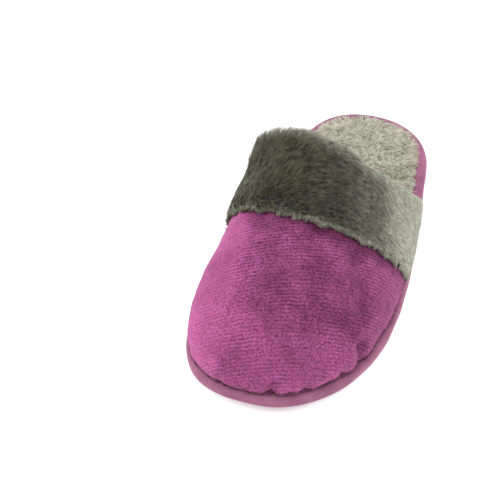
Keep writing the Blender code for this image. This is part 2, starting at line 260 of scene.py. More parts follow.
def soft_copy(node, name, levels):
    """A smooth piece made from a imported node's solid."""
    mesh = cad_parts[node].data.copy()
    mesh.name = name
    mesh.materials.clear()
    piece = bpy.data.objects.new(name, mesh)
    bpy.context.scene.collection.objects.link(piece)
    pick(piece)
    bpy.ops.object.mode_set(mode="EDIT")
    bpy.ops.mesh.select_all(action="SELECT")
    bpy.ops.mesh.customdata_custom_splitnormals_clear()
    bpy.ops.mesh.remove_doubles(threshold=WELD)
    bpy.ops.mesh.tris_convert_to_quads(face_threshold=math.radians(60), shape_threshold=math.radians(80))
    bpy.ops.object.mode_set(mode="OBJECT")
    smooth = piece.modifiers.new("smooth", "SUBSURF")
    smooth.levels = smooth.render_levels = levels
    bpy.ops.object.modifier_apply(modifier=smooth.name)
    bpy.ops.object.shade_smooth()
    return piece


def points_of(piece):
    """The piece's points and their normals, as arrays."""
    mesh = piece.data
    places = np.empty(len(mesh.vertices) * 3, np.float32)
    mesh.vertices.foreach_get("co", places)
    normals = np.empty(len(mesh.vertices) * 3, np.float32)
    mesh.vertex_normals.foreach_get("vector", normals)
    return places.reshape(-1, 3).astype(float), normals.reshape(-1, 3).astype(float)


def move_points(piece, places):
    piece.data.vertices.foreach_set("co", places.astype(np.float32).ravel())
    piece.data.update()


def triangles_of(piece):
    """The piece's triangles, as rows of three point numbers."""
    piece.data.calc_loop_triangles()
    corners = np.empty(len(piece.data.loop_triangles) * 3, np.int32)
    piece.data.loop_triangles.foreach_get("vertices", corners)
    return corners.reshape(-1, 3)


def surface_of(node):
    """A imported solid's surface, as a tree that finds its nearest points."""
    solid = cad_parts[node]
    return BVHTree.FromPolygons(points_of(solid)[0].tolist(), triangles_of(solid).tolist())


def distance_to(node, places):
    """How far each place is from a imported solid's surface, and the nearest point on it."""
    surface = surface_of(node)
    found = [surface.find_nearest(Vector(p)) for p in places]
    return np.array([f[3] for f in found]), np.array([tuple(f[0]) for f in found])


def soft_noise(places, size, seed, waves=14):
    """Smooth, seeded unevenness from -1 to 1, with lumps about that size."""
    dice = np.random.default_rng(seed)
    total = np.zeros(len(places))
    for _ in range(waves):
        way = dice.normal(size=3)
        way /= np.linalg.norm(way)
        pitch = size * dice.uniform(0.7, 1.8)
        total += np.sin(places @ way * 2 * math.pi / pitch + dice.uniform(0, 2 * math.pi))
    return total / math.sqrt(waves) / 1.4


def ease(value, low, high):
    """0 up to low, 1 from high, and smooth between."""
    run = np.clip((value - low) / (high - low), 0, 1)
    return run * run * (3 - 2 * run)


def line_distance(places, path):
    """How far each place is from a line through some points."""
    path = np.array(path, float)
    best = np.full(len(places), np.inf)
    for a, b in zip(path, path[1:]):
        run = np.clip((places - a) @ (b - a) / ((b - a) @ (b - a)), 0, 1)
        gap = np.linalg.norm(places - a - run[:, None] * (b - a), axis=1)
        best = np.minimum(best, gap)
    return best


# %% [markdown]
# ## The vamp
# The vamp is the padded velour upper over the toes. The real one is cut from ribbed velour and
# foam and sewn down to the sole's ledge all round. The ledge rises with the toe, so heights near
# the seam are taken from the solid's own foot and not from the floor.

# %% Find the vamp's sewn foot
FOOT_BELOW = 0.016  # the foot's underside lies lower than this
solid, facing = points_of(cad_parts["upper"])
foot_ring = solid[(facing[:, 2] < -0.3) & (solid[:, 2] < FOOT_BELOW)]
foot_ring = foot_ring[np.argsort(foot_ring[:, 1])]


def over_ledge(places):
    """Heights above the vamp's sewn foot, which rises with the toe spring."""
    return places[:, 2] - np.interp(places[:, 1], foot_ring[:, 1], foot_ring[:, 2])


def stay_over_ledge(ends, gap):
    """Raises the ends of hairs that hang lower than a gap over the sewn foot."""
    ends[:, 2] -= np.minimum(over_ledge(ends) - gap, 0)


print("sewn foot:", len(foot_ring), "points")

# %% [markdown]
# ### Its furrows and puckers
# The padding gives in long shallow furrows, and the velour puckers where it is gathered at the
# seam and rolls under. Cloth simulation makes such folds, but not at chosen places, and this vamp
# is known by where its folds lie. So each is a line on the vamp with a depth and a width, and the
# points near it sink. The lines were traced in the photograph and laid on the solid by a
# separate measurement, which gave these numbers, and the short ones were then moved.

# %% Shape the vamp
FURROWS = (  # depth, width, points along it
    (0.0012, 0.0055, ((0.0057, -0.0514, 0.0582), (0.0073, -0.0616, 0.0553), (0.0109, -0.0711, 0.0521),
                      (0.0152, -0.0792, 0.0487), (0.0165, -0.0901, 0.0451), (0.0186, -0.0996, 0.0406))),
    (0.0011, 0.0045, ((0.0285, -0.0542, 0.0468), (0.0308, -0.0582, 0.0445), (0.0344, -0.0640, 0.0407),
                      (0.0366, -0.0694, 0.0376), (0.0374, -0.0794, 0.0342))),
    (0.0014, 0.0042, ((0.0280, -0.0896, 0.0390), (0.0334, -0.0887, 0.0347), (0.0374, -0.0883, 0.0304),
                      (0.0412, -0.0897, 0.0230), (0.0428, -0.0907, 0.0141))),
    (0.0022, 0.0028, ((0.0415, -0.0895, 0.0222), (0.0427, -0.0908, 0.0158))),
    (0.0018, 0.0022, ((0.0350, -0.1015, 0.0190), (0.0364, -0.1030, 0.0142))),
    (0.0020, 0.0022, ((0.0225, -0.1190, 0.0170), (0.0216, -0.1202, 0.0136))),
    (0.0022, 0.0024, ((0.0080, -0.1275, 0.0215), (0.0069, -0.1290, 0.0150))),
    (0.0014, 0.0020, ((-0.0205, -0.1290, 0.0190), (-0.0200, -0.1300, 0.0150))),
    (0.0014, 0.0050, ((-0.0346, -0.0416, 0.0572), (-0.0290, -0.0478, 0.0581), (-0.0237, -0.0530, 0.0583))),
    (0.0008, 0.0050, ((-0.0384, -0.0786, 0.0467), (-0.0326, -0.0818, 0.0486), (-0.0266, -0.0859, 0.0493))),
    (0.0009, 0.0070, ((-0.0090, -0.0980, 0.0474), (-0.0026, -0.1041, 0.0448), (0.0046, -0.1091, 0.0414))),
)
SHOULDER = 0.35  # the swelling beside a furrow, as a share of its depth
ROLL_HEIGHT, ROLL_DEPTH, ROLL_UNEVEN = 0.0042, 0.0019, 0.0007
FOOT_SINK = 0.0015  # the sewn foot sinks into the wrap, as a tight seam does

vamp = soft_copy("upper", "vamp", 2)
places, normals = points_of(vamp)
core = np.stack([0.1 * places[:, 0], places[:, 1] * 0.75 + 0.02, np.full(len(places), 0.012)], 1)
outer_of_vamp = ((places - core) * normals).sum(1) > 0  # a point that faces away from the toes
outward = np.where(outer_of_vamp[:, None], normals, -normals)

lift = soft_noise(places, 0.030, 4) * 0.0005 + soft_noise(places, 0.011, 5) * 0.00022
for depth, width, path in FURROWS:
    gap = line_distance(places, path)
    lift -= depth * np.exp(-((gap / width) ** 2))
    lift += SHOULDER * depth * np.exp(-(((gap - 2.0 * width) / width) ** 2))
above = over_ledge(places)
seen_flat = places * (1, 1, 0)
gather = soft_noise(seen_flat, 0.008, 9) + 0.45 * soft_noise(seen_flat, 0.0028, 10)
lift += np.exp(-((above - 0.004) / 0.004) ** 2) * gather * 0.00035
roll = np.clip(1 - above / ROLL_HEIGHT, 0, 1) ** 2
lift -= np.where(outer_of_vamp, roll * (ROLL_DEPTH + ROLL_UNEVEN * gather), 0)
places += outward * lift[:, None]


SAG_FORWARD, SAG_DOWN = 0.0048, 0.0022


def sag(places):
    """Draws soft pieces forward and down where the opening sags behind the instep's outer side."""
    x, y, z = places.T
    outside = ease(x, 0.004, 0.024) * (1 - 0.5 * ease(x, 0.040, 0.052))
    behind = ease(y, -0.024, 0.004) * ease(z, 0.018, 0.040)
    places[:, 1] -= SAG_FORWARD * outside * behind
    places[:, 2] -= SAG_DOWN * outside * behind


sag(places)
places[:, 2] -= FOOT_SINK * (1 - ease(above, 0.0006, 0.0025))
move_points(vamp, places)
print("vamp:", len(places), "points")

# %% [markdown]
# The velour's rows run across the foot at a slant, turn down over its sides and bend round the
# toe, about 2 mm apart. A UV map could carry them, but unrolling so round a shell bends them
# wrongly. So they follow a smooth function of the place: a slope with a few bends, which grows by
# about a metre for each metre of cloth. Its nine numbers were fitted to the directions of the
# rows in the photograph by a separate measurement. Each point of the vamp keeps three numbers:
# its place across the rows, how clearly the rows show there, and how light its pile is, which is
# partly how the pile lies and partly painted light and shade.

# %% Lay the cloth's rows on the vamp
ROW_PITCH = 0.0020
ROW_SLOPE = (-0.297, 1.078, 0.318)  # along x, y and z
ROW_BENDS = (3.41, 1.36, 2.14, 0.48, 0.72, -1.87)  # with x*x, y*y, z*z, x*y, x*z and y*z
FURROW_SHADE_PER_METRE = 150  # how much painted shade darkens the pile for each metre of a furrow's depth


def set_attribute(piece, name, values):
    """Writes three numbers per point, which a material can read."""
    made = piece.data.attributes.new(name, "FLOAT_VECTOR", "POINT")
    made.data.foreach_set("vector", values.astype(np.float32).ravel())


x, y, z = places.T
bends = np.stack([x * x, y * y, z * z, x * y, x * z, y * z], 1)
cloth_rows = places @ ROW_SLOPE + bends @ ROW_BENDS
clear = (1 - 0.85 * ease(-x, 0.020, 0.038)) * (1 - 0.45 * ease(-y, 0.095, 0.120))

# How light the pile is: soft noise for how it lies, and painted light and shade. The inner flank and the
# toe are painted lighter, the outer side a little lighter, and the inner end darker low down.
nap_and_painted_light = 0.42 + 0.38 * ease(-x, 0.012, 0.036) + 0.06 * ease(x, 0.0, 0.035)
nap_and_painted_light -= 0.12 * ease(-x, 0.038, 0.052) * (1 - ease(z, 0.018, 0.034))
nap_and_painted_light += 0.26 * ease(-y, 0.085, 0.118)
nap_and_painted_light += 0.10 * soft_noise(places, 0.035, 12) + 0.05 * soft_noise(places, 0.012, 13)
# Painted shade in the furrows.
for depth, width, path in FURROWS:
    gap = line_distance(places, path)
    nap_and_painted_light -= FURROW_SHADE_PER_METRE * depth * np.exp(-((gap / width / 1.3) ** 2))
# Painted shade along the sewn foot, and a painted highlight on the roll just above it.
above = over_ledge(places)
nap_and_painted_light -= 0.55 * np.exp(-(((above - 0.0004) / 0.0010) ** 2))
nap_and_painted_light += 0.18 * np.exp(-(((above - 0.0042) / 0.0018) ** 2)) * ease(x, -0.02, 0.02)
# Painted shadow under the cuff's hem.
HEM_LINE = np.array([  # mm
    (-52.7, -26.5, 31.4), (-41.6, -43.0, 56.1), (-27.8, -45.8, 62.5), (-14.4, -47.0, 66.0),
    (5.7, -47.7, 63.6), (22.5, -43.5, 55.0), (38.7, -38.3, 40.7), (49.8, -28.1, 24.0)]) / 1000
hem_shadow_gap = line_distance(places, HEM_LINE)
nap_and_painted_light -= 0.45 * (1 - ease(hem_shadow_gap, 0.003, 0.010)) * ease(x, -0.030, 0.0)
set_attribute(vamp, "cloth", np.stack([cloth_rows, clear, np.clip(nap_and_painted_light, 0, 1.3)], 1))
print("vamp rows:", round(float(np.ptp(cloth_rows) / ROW_PITCH)))

# %% [markdown]
# Velour is a pile of short upright loops in rows, bright at the tips and dark between, with a soft
# shine where it is seen from the side. Loops of real geometry would need millions of faces for
# what is under a pixel wide, so they are colour and bump: rows from the cloth's own numbers, fine
# noise for the loops, and soft blotches where the pile lies another way. The vamp's third number
# adds painted light and shade: lighter on the inner flank and the toe, darker in the furrows,
# along the seam and under the cuff's hem.

# %% Make the velour
velour, shader, place, cloth = new_finish("velour", "cloth")
row = cloth.part(0) * (1 / ROW_PITCH) + (place.noise(160.0) - 0.5) * 0.9
ribs = row.maths("SINE", row * (2 * math.pi)) * 0.5
loops = place.noise(930.0, 3.0, 0.85) - 0.5
patches = place.noise(60.0, 2.0, 0.5).clipped(0.35, 0.65)
clear = cloth.part(1)
tuft = (ribs * (patches * 0.30 + 0.12) + loops * 3.4) * (clear * 0.6 + 0.4) + 0.5
nap = place.noise(28.0, 3.0, 0.6)
blotch = place.noise(130.0, 2.0, 0.55)
colour = tuft.clipped(-0.15, 1.15).mix((0.100, 0.013, 0.055), (0.43, 0.100, 0.27))
# Noise blotches where the pile lies another way, with the vamp's painted light and shade.
pile_and_painted_light = cloth.part(2) + (nap - 0.5) * 0.65 + (blotch - 0.5) * 0.8
pile_and_painted_light_factor = pile_and_painted_light.clipped(-0.15, 1.25).mix((0.50, 0.44, 0.48), (1.62, 1.75, 1.66))
feed(shader, "Base Color", colour.times(pile_and_painted_light_factor))
feed(shader, "Normal", place.bump(tuft + nap * 0.5, 0.0004, 0.5))
shader.inputs["Roughness"].default_value = 0.95
shader.inputs["Specular IOR Level"].default_value = 0.15
shader.inputs["Sheen Weight"].default_value = 0.35
shader.inputs["Sheen Roughness"].default_value = 0.35
shader.inputs["Sheen Tint"].default_value = (0.95, 0.45, 0.75, 1.0)
vamp.data.materials.append(velour)
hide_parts("upper")
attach(vamp, "root")
print("velour:", len(velour.node_tree.nodes), "nodes")

# %% [markdown]
# ## The wrapped platform
# The sole is soft foam wrapped in one strip of suede-like cloth. The cloth is pulled round the
# edges and glued, so the band bulges a little, and its short nap is paler where it is rubbed. A
# cloth simulation would add nothing to a tight glued strip, so its points just move outwards.

# %% Shape and finish the platform's wrap
BULGE, BAND_MIDDLE, BAND_HALF = 0.00035, 0.0062, 0.0052
wrap = soft_copy("midsole", "sole_wrap", 2)
places, normals = points_of(wrap)
side = 1 - np.abs(normals[:, 2])
puff = BULGE * side * np.cos((places[:, 2] - BAND_MIDDLE) / BAND_HALF * math.pi / 2)
places += normals * (puff + soft_noise(places, 0.018, 21) * 0.00022 * side)[:, None]
move_points(wrap, places)

suede, shader, place, _ = new_finish("wrap_suede")
nap_and_painted_light = place.stretched(1, 1, 2.5).noise(70.0, 4.0, 0.6)
grain = place.noise(900.0, 3.0, 0.7)
fibre = (nap_and_painted_light * 0.75 + grain * 0.35 - 0.05).clipped(0.2, 0.85)
colour = fibre.mix((0.26, 0.080, 0.160), (0.48, 0.19, 0.31))
rubbed = place.noise(34.0, 3.0, 0.6).clipped(0.35, 0.7).mix((0.80, 0.78, 0.80), (1.08, 1.08, 1.08))
feed(shader, "Base Color", colour.times(rubbed))
feed(shader, "Normal", place.bump(grain + nap_and_painted_light * 0.6, 0.0004, 0.7))
shader.inputs["Roughness"].default_value = 0.9
shader.inputs["Specular IOR Level"].default_value = 0.2
shader.inputs["Sheen Weight"].default_value = 0.35
shader.inputs["Sheen Roughness"].default_value = 0.4
shader.inputs["Sheen Tint"].default_value = (0.95, 0.65, 0.8, 1.0)
wrap.data.materials.append(suede)
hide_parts("midsole")
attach(wrap, "root")
print("sole wrap:", len(places), "points")

# %% [markdown]
# ## The outsole
# The real one is a thin sheet of moulded rubber with tread grooves. Rubber keeps its shape, so the
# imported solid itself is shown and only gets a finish: matt, with a fine pebbled grain and dusty,
# paler spots. The photograph hides the sole, so its colour and tread are the usual ones.

# %% Finish the outsole
rubber, shader, place, _ = new_finish("outsole_rubber")
pebble = place.node("ShaderNodeTexVoronoi", (), {"Vector": place, "Scale": 1400.0})
dust = place.noise(60.0, 4.0, 0.6)
colour = dust.clipped(0.3, 0.75).mix((0.16, 0.075, 0.115), (0.27, 0.15, 0.20))
feed(shader, "Base Color", colour)
feed(shader, "Normal", place.bump(pebble, 0.0002, 0.6))
feed(shader, "Roughness", dust * 0.25 + 0.6)
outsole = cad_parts["outsole"]
outsole.data.materials.clear()
outsole.data.materials.append(rubber)
print("outsole:", len(outsole.data.polygons), "faces")

# %% [markdown]
# ## Fur
# Cuff, footbed and lining are faux fur: soft hairs about 4 to 10 mm long that stand in small locks
# and lie over to one side. Hairs drawn on a smooth skin look flat at the edges, and Blender's own
# hair isn't a mesh. So each hair here is geometry. The first step is
# to spread the roots evenly over a backing, more of them where a triangle is larger.


# %% Spread the roots
def scatter(piece, count, seed, keep=None):
    """Random places on a piece's faces, evenly spread, with smooth normals."""
    dice = np.random.default_rng(seed)
    places, normals = points_of(piece)
    faces = triangles_of(piece)
    if keep is not None:
        faces = faces[keep[faces].all(1)]
    a, b, c = (places[faces[:, k]] for k in range(3))
    area = np.linalg.norm(np.cross(b - a, c - a), axis=1)
    chosen = faces[dice.choice(len(faces), count, p=area / area.sum())]
    u, v = dice.random((2, count))
    u, v = np.where(u + v > 1, 1 - u, u), np.where(u + v > 1, 1 - v, v)
    share = np.stack([1 - u - v, u, v], 1)[:, :, None]
    spot = (places[chosen] * share).sum(1)
    normal = (normals[chosen] * share).sum(1)
    return spot, normal / np.linalg.norm(normal, axis=1)[:, None]


def unit(vectors):
    return vectors / np.maximum(np.linalg.norm(vectors, axis=1), 1e-9)[:, None]


# %% [markdown]
# ### The shape of one hair
# A real hair is round and bends over. Here it is a thin closed spike of seven faces: three sides
# up to a bend, three more up to the tip, and a cap at the root. That is enough at this distance,
# and tens of thousands of them stay light. All hairs of a piece share one mesh, built from arrays
# because operators would take very long for so many.

# %% Turn roots, bends and tips into a mesh
HAIR_POINTS = 7
HAIR_SIDES = ((0, 1, 4, 3), (1, 2, 5, 4), (2, 0, 3, 5))
HAIR_ENDS = ((0, 2, 1), (3, 4, 6), (4, 5, 6), (5, 3, 6))  # the root's cap and the three at the tip
BEND_THICKNESS, BEND_HEIGHT = 0.8, 0.55  # as shares of the root's thickness and of the hair


def hair_mesh(name, roots, middles, tips, thickness, tint, finish):
    """One piece of many hairs: each is a three-sided spike with a bend and a pointed tip."""
    count = len(roots)
    thick = np.full(count, thickness)
    turn = np.arange(3) * 2 * math.pi / 3

    def ring(centre, way, radius):
        side = unit(np.cross(way, (0.31, 0.52, 0.79)))
        over = np.cross(way, side)
        across = np.cos(turn)[None, :, None] * side[:, None]
        return centre[:, None] + radius[:, None, None] * (
            across + np.sin(turn)[None, :, None] * over[:, None])

    low = ring(roots, unit(middles - roots), thick)
    mid = ring(middles, unit(tips - roots), thick * BEND_THICKNESS)
    places = np.concatenate([low, mid, tips[:, None]], 1).reshape(-1, 3)
    first = np.arange(count)[:, None, None] * HAIR_POINTS
    loops = np.concatenate([(first + np.array(HAIR_SIDES)).reshape(count, -1),
                            (first + np.array(HAIR_ENDS)).reshape(count, -1)], 1).ravel()
    sizes = np.tile([4, 4, 4, 3, 3, 3, 3], count)
    starts = np.concatenate([[0], np.cumsum(sizes)[:-1]])
    mesh = bpy.data.meshes.new(name)
    mesh.vertices.add(len(places))
    mesh.vertices.foreach_set("co", places.astype(np.float32).ravel())
    mesh.loops.add(len(loops))
    mesh.loops.foreach_set("vertex_index", loops.astype(np.int32))
    mesh.polygons.add(len(sizes))
    mesh.polygons.foreach_set("loop_start", starts.astype(np.int32))
    mesh.update(calc_edges=True)
    mesh.shade_smooth()
    piece = bpy.data.objects.new(name, mesh)
    bpy.context.scene.collection.objects.link(piece)
    height = np.tile([0.0] * 3 + [BEND_HEIGHT] * 3 + [1.0], count)
    own = np.repeat(tint, HAIR_POINTS, axis=0)
    set_attribute(piece, "hair", np.stack([height, own[:, 0], own[:, 1]], 1))
    mesh.materials.append(finish)
    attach(piece, "root")
    return piece


# %% [markdown]
# ### Combing and shearing
# Fur hairs cling together in locks, and a lock leans one way as a whole. Blender's hair tools comb
# by brush strokes, which are awkward to script. So some hairs are chosen as heads of locks, each
# hair joins its nearest head, and its tip is pulled towards the head's. A mill then shears the
# pile to one height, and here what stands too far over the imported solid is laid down.


# %% Comb the hairs into locks and shear them
def tree_of(points):
    """Points in a tree that finds the nearest one."""
    tree = KDTree(len(points))
    for number, point in enumerate(points):
        tree.insert(Vector(point), number)
    tree.balance()
    return tree


def comb(spots, normals, way, wild, lengths, lifts, clump, seed):
    """Bends hairs over along a way, in locks: returns their middles, tips and tones."""
    dice = np.random.default_rng(seed)
    count = len(spots)
    heads = dice.choice(count, count // clump, replace=False)
    locks = tree_of(spots[heads])
    lock = np.array([locks.find(Vector(s))[1] for s in spots])
    swing = (dice.normal(size=len(heads)) * wild)[lock] + dice.normal(size=count) * wild * 0.45
    along = unit(way - (way * normals).sum(1)[:, None] * normals)
    side = np.cross(normals, along)
    along = along * np.cos(swing)[:, None] + side * np.sin(swing)[:, None]
    raise_lock = np.exp(dice.normal(size=len(heads)) * 0.16)[lock]
    length = lengths * raise_lock * dice.uniform(0.75, 1.1, count)
    steep = lifts * dice.uniform(0.75, 1.25, count)
    flat = steep * 0.35
    half = (length * 0.5)[:, None]
    rise = along * np.cos(steep)[:, None] + normals * np.sin(steep)[:, None]
    bend = along * np.cos(flat)[:, None] + normals * np.sin(flat)[:, None]
    middles = spots + rise * half
    tips = middles + bend * half
    pull = dice.uniform(0.1, 0.4, count)[:, None]
    tips = tips * (1 - pull) + tips[heads][lock] * pull
    tone = dice.random(len(heads))[lock] * 0.40 + dice.random(count) * 0.60
    return middles, tips, tone


def sheared(middles, tips, node, reach):
    """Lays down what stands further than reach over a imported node, as a mill shears its fur."""
    surface = surface_of(node)
    for ends, allowed in ((middles, reach * 0.6), (tips, reach)):
        for number, place in enumerate(ends):
            near, facing, _, _ = surface.find_nearest(Vector(place))
            over = (Vector(place) - near).dot(facing) - allowed[number]
            if over > 0:
                ends[number] -= np.array(facing) * over


# %% [markdown]
# ### The fur's colour
# Each hair is painted darker at its root, as shade deep in the pile, and paler at its tip, as light
# that shines through it, and no two hairs are alike. Each hair carries three numbers: the height
# along it, which paints that shade and light, its own tone and its zone. An image would blur them
# together, and numbers on the hair's own points stay sharp at any distance, so the material mixes
# its colours from them.


# %% Colour the fur
def fur_finish(name, dark, pale):
    """Fur painted with shade at the roots and light at the tips. Each is a pair of colours, and the hair's
    zone mixes them.
    """
    made, shader, place, hair = new_finish(name, "hair")
    # Painted shade at the root and painted light at the tip, from the height along the hair, with the
    # hair's own tone and noise.
    painted_shade_and_tone = hair.part(0) * 0.40 + hair.part(1) * 0.80 + place.noise(230.0, 4.0, 0.6) * 0.7 - 0.58
    painted_shade_and_tone = painted_shade_and_tone.clipped(0.0, 1.0)
    colour = hair.part(2).mix(painted_shade_and_tone.mix(*dark), painted_shade_and_tone.mix(*pale))
    feed(shader, "Base Color", colour)
    shader.inputs["Roughness"].default_value = 0.6
    shader.inputs["Specular IOR Level"].default_value = 0.3
    shader.inputs["Sheen Weight"].default_value = 0.2
    shader.inputs["Sheen Roughness"].default_value = 0.4
    return made


print("points of one hair:", HAIR_POINTS)


# %% [markdown]
# ### The cuff
# The real cuff is a strip of fur fabric turned down over the throat's edge. Its backing
# carries the hairs and is painted dark between them, as the shade deep in the pile. The imported
# solid stands for fabric and fur together, so a copy of it is drawn in to half its pile, and the
# hairs then fill the rest. A flat strip folded by cloth simulation would not lie where the solid
# and the photograph have it.

# %% Shape the cuff's backing
LEDGE = 0.0107  # height of the sole's ledge behind the toe spring
HEM_EVENED = 0.7  # how much of the raised locks' unevenness is taken out of the hem
solid_cuff, _ = points_of(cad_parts["cuff"])
sag(solid_cuff)


def round_foot(places):
    """The angle round the instep: 0 at the outer side, pi at the inner side."""
    return np.arctan2(np.maximum(places[:, 2] - LEDGE, 0) / 0.066, places[:, 0] / 0.054)


def edge_of(places, lowest):
    """How far the places are from the cuff's hem (lowest) or from its back edge, along the foot."""
    own = round_foot(solid_cuff)
    bins = np.linspace(0, math.pi, 37)
    pick_edge = np.min if lowest else np.max
    edge = [pick_edge(solid_cuff[np.abs(own - b) < 0.06, 1]) for b in bins]
    return np.abs(places[:, 1] - np.interp(round_foot(places), bins, edge))


cuff = soft_copy("cuff", "cuff_backing", 1)
places, normals = points_of(cuff)
gap, nearest = distance_to("upper", places)
pile = (gap > 0.0008) & (((places - nearest) * normals).sum(1) > 0)
drawn = np.where(pile, np.clip(gap - 0.0007, 0, None) * 0.5, 0)
places -= unit(places - nearest) * drawn[:, None]
sag(places)
from_hem = edge_of(places, True)
valleys = HEM_EVENED * from_hem * (1 - ease(from_hem, 0.0015, 0.0050))
places[:, 1] -= np.where(pile, valleys, 0)
move_points(cuff, places)

backing, shader, place, _ = new_finish("fur_backing")
tangle = place.stretched(1, 2.2, 1).noise(700.0, 3.0, 0.6)
# The backing's colour is painted dark, as shade between the hairs.
shaded_knit = tangle.clipped(0.3, 0.7).mix((0.022, 0.021, 0.015), (0.085, 0.083, 0.06))
feed(shader, "Base Color", shaded_knit)
feed(shader, "Normal", place.bump(tangle, 0.0008, 0.8))
shader.inputs["Roughness"].default_value = 0.95
cuff.data.materials.append(backing)
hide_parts("cuff")
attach(cuff, "root")
print("cuff backing:", len(places), "points")

# %% [markdown]
# ### The cuff's hairs
# They lie across the foot towards the outer side, turn towards the hem at the free edge, and stand
# up longer along the inner crest. They are dark olive, with painted light that makes them pale on
# the outer flank, at the back edge and at the inner end. The hairs are split into four pieces,
# because one would be too large to export whole.

# %% Grow the cuff's hairs
DARK_FUR = ((0.006, 0.0056, 0.003), (0.25, 0.238, 0.138))
PALE_FUR = ((0.46, 0.465, 0.36), (0.97, 0.98, 0.83))
cuff_hair = fur_finish("cuff_hair", DARK_FUR, PALE_FUR)


def cuff_tint(spots, facing, tone, from_hem, seed):
    """Dark olive on the instep; painted light makes it pale on the outer flank, at the back edge and at
    the inner end, and the raw hem is paler.
    """
    x, y, z = spots.T
    # Painted light on the outer flank, growing towards the heel.
    lit = x + 0.25 * (y + 0.03)
    zone = 0.24 * ease(lit, 0.004, 0.030) + 1.25 * ease(lit, 0.030, 0.053)
    zone += 0.45 * ease(lit, 0.044, 0.054)
    # Painted light along the back edge; the raw hem is a little paler.
    painted_rim_light = ease(-edge_of(spots, False), -0.015, -0.006)
    zone += (0.34 + 0.30 * ease(x, -0.012, 0.014)) * painted_rim_light + 0.15 * ease(-from_hem, -0.004, -0.001)
    # Painted light at the inner end.
    zone += 0.07 * ease(-x, 0.025, 0.045) + 0.10 * ease(-x, 0.040, 0.050)
    inner_side = ((spots - (0, 0, 0.012)) * facing * (1, 0, 1)).sum(1) < 0
    zone = np.where(inner_side, np.maximum(zone, 0.30), zone)
    zone += 0.06 * soft_noise(spots, 0.022, 61) + 0.04 * soft_noise(spots, 0.008, 62)
    zone *= np.random.default_rng(seed).uniform(0.35, 1.65, len(spots))
    return np.stack([tone, np.clip(zone, 0, 1)], 1)


PIECES_OF_CUFF, HAIRS_EACH = 4, 11800
CUFF_HAIR, CREST_EXTRA = 0.0049, 0.0052  # a hair's length, and how much more it has on the crest
FULL_PILE = 0.0028  # where the backing lies this far over the vamp, hairs have their full length
CUFF_THICKNESS = 0.00017
for number in range(PIECES_OF_CUFF):
    spots, facing = scatter(cuff, HAIRS_EACH, 100 + number, pile)
    depth, _ = distance_to("upper", spots)
    from_hem = edge_of(spots, True)
    to_hem = ease(-from_hem, -0.010, -0.001)
    way = np.tile((1.0, 0.25, 0.0), (len(spots), 1))
    way[:, 1] -= 0.8 * ease(spots[:, 0], 0.0, 0.04) + 0.7 * to_hem
    way[:, 2] -= 0.9 * ease(spots[:, 0], 0.01, 0.045)
    x, y, z = spots.T
    crest = ease(z, 0.058, 0.074) * ease(-x, 0.004, 0.022)
    shoulder = ease(z, 0.046, 0.062) * ease(-x, 0.012, 0.022) * ease(y, -0.024, -0.006)
    crest = np.maximum(crest, shoulder)
    inner_end = ease(-x, 0.030, 0.046)
    lengths = (CUFF_HAIR + CREST_EXTRA * crest) * np.clip(depth / FULL_PILE, 0.3, 1)
    lengths = lengths * (1 - 0.4 * inner_end * (1 - crest))
    way[:, 1] += 0.5 * crest
    lifts = 0.62 + 0.45 * crest
    middles, tips, tone = comb(spots, facing, way, 0.42, lengths, lifts, 6, 200 + number)
    reach = 0.0004 + CREST_EXTRA * crest - 0.0018 * inner_end * (1 - crest)
    sheared(middles, tips, "cuff", reach)
    tint = cuff_tint(spots, facing, tone, from_hem, 600 + number)
    name = f"cuff_hair_{number}"
    piece = hair_mesh(name, spots, middles, tips, CUFF_THICKNESS, tint, cuff_hair)
print("cuff hairs:", PIECES_OF_CUFF * HAIRS_EACH)

# %% [markdown]
# ### The hem's fringe
# The cuff is cut from fur fabric and its free edge is left raw, so a narrow ragged strip of pale
# tufts sticks out below the darker hairs. A paler colour at the ends of the cuff's own hairs would
# be too even, so the tufts are short hairs of their own, rooted just inside the hem, which point
# out over the velour.

# %% Grow the hem's fringe
FRINGE_HAIRS, FRINGE_WIDTH = 6000, 0.0026
FRINGE_HAIR, FRINGE_UNEVEN, FRINGE_THICKNESS = 0.0029, 0.0008, 0.00024
places, _ = points_of(cuff)
near_hem = pile & (edge_of(places, True) < FRINGE_WIDTH)
spots, facing = scatter(cuff, FRINGE_HAIRS, 700, near_hem)
way = np.tile((0.10, -1.0, -0.25), (len(spots), 1))
way[:, 2] -= 0.5 * ease(np.abs(spots[:, 0]), 0.015, 0.045)
lengths = FRINGE_HAIR + FRINGE_UNEVEN * soft_noise(spots, 0.006, 703)
middles, tips, tone = comb(spots, facing, way, 0.35, lengths, np.full(len(spots), 0.30), 5, 701)
# Painted light and shade as on the cuff: paler on the outer side, darker on the inner side.
zone = 0.62 - 0.35 * ease(-spots[:, 0], 0.004, 0.030) + 0.35 * ease(spots[:, 0], 0.02, 0.045)
zone = zone * np.random.default_rng(702).uniform(0.6, 1.3, len(spots))
tint = np.stack([tone, np.clip(zone, 0, 1)], 1)
fringe_hair = fur_finish("fringe_hair", DARK_FUR, ((0.34, 0.33, 0.24), (0.80, 0.80, 0.66)))
piece = hair_mesh("hem_fringe", spots, middles, tips, FRINGE_THICKNESS, tint, fringe_hair)
print("fringe:", len(spots), "hairs")

# %% [markdown]
# ### The footbed
# The real footbed looks like a fur sheet over thin foam, which lies in the sole's seat. Here its solid is
# drawn in by the fur's height and remeshed into even small faces, so that it can swell like a
# pillow. Its sides, its underside and a few dozen stitches are held. A remesh is used and not a
# subdivision, because a simulation needs faces of one size.

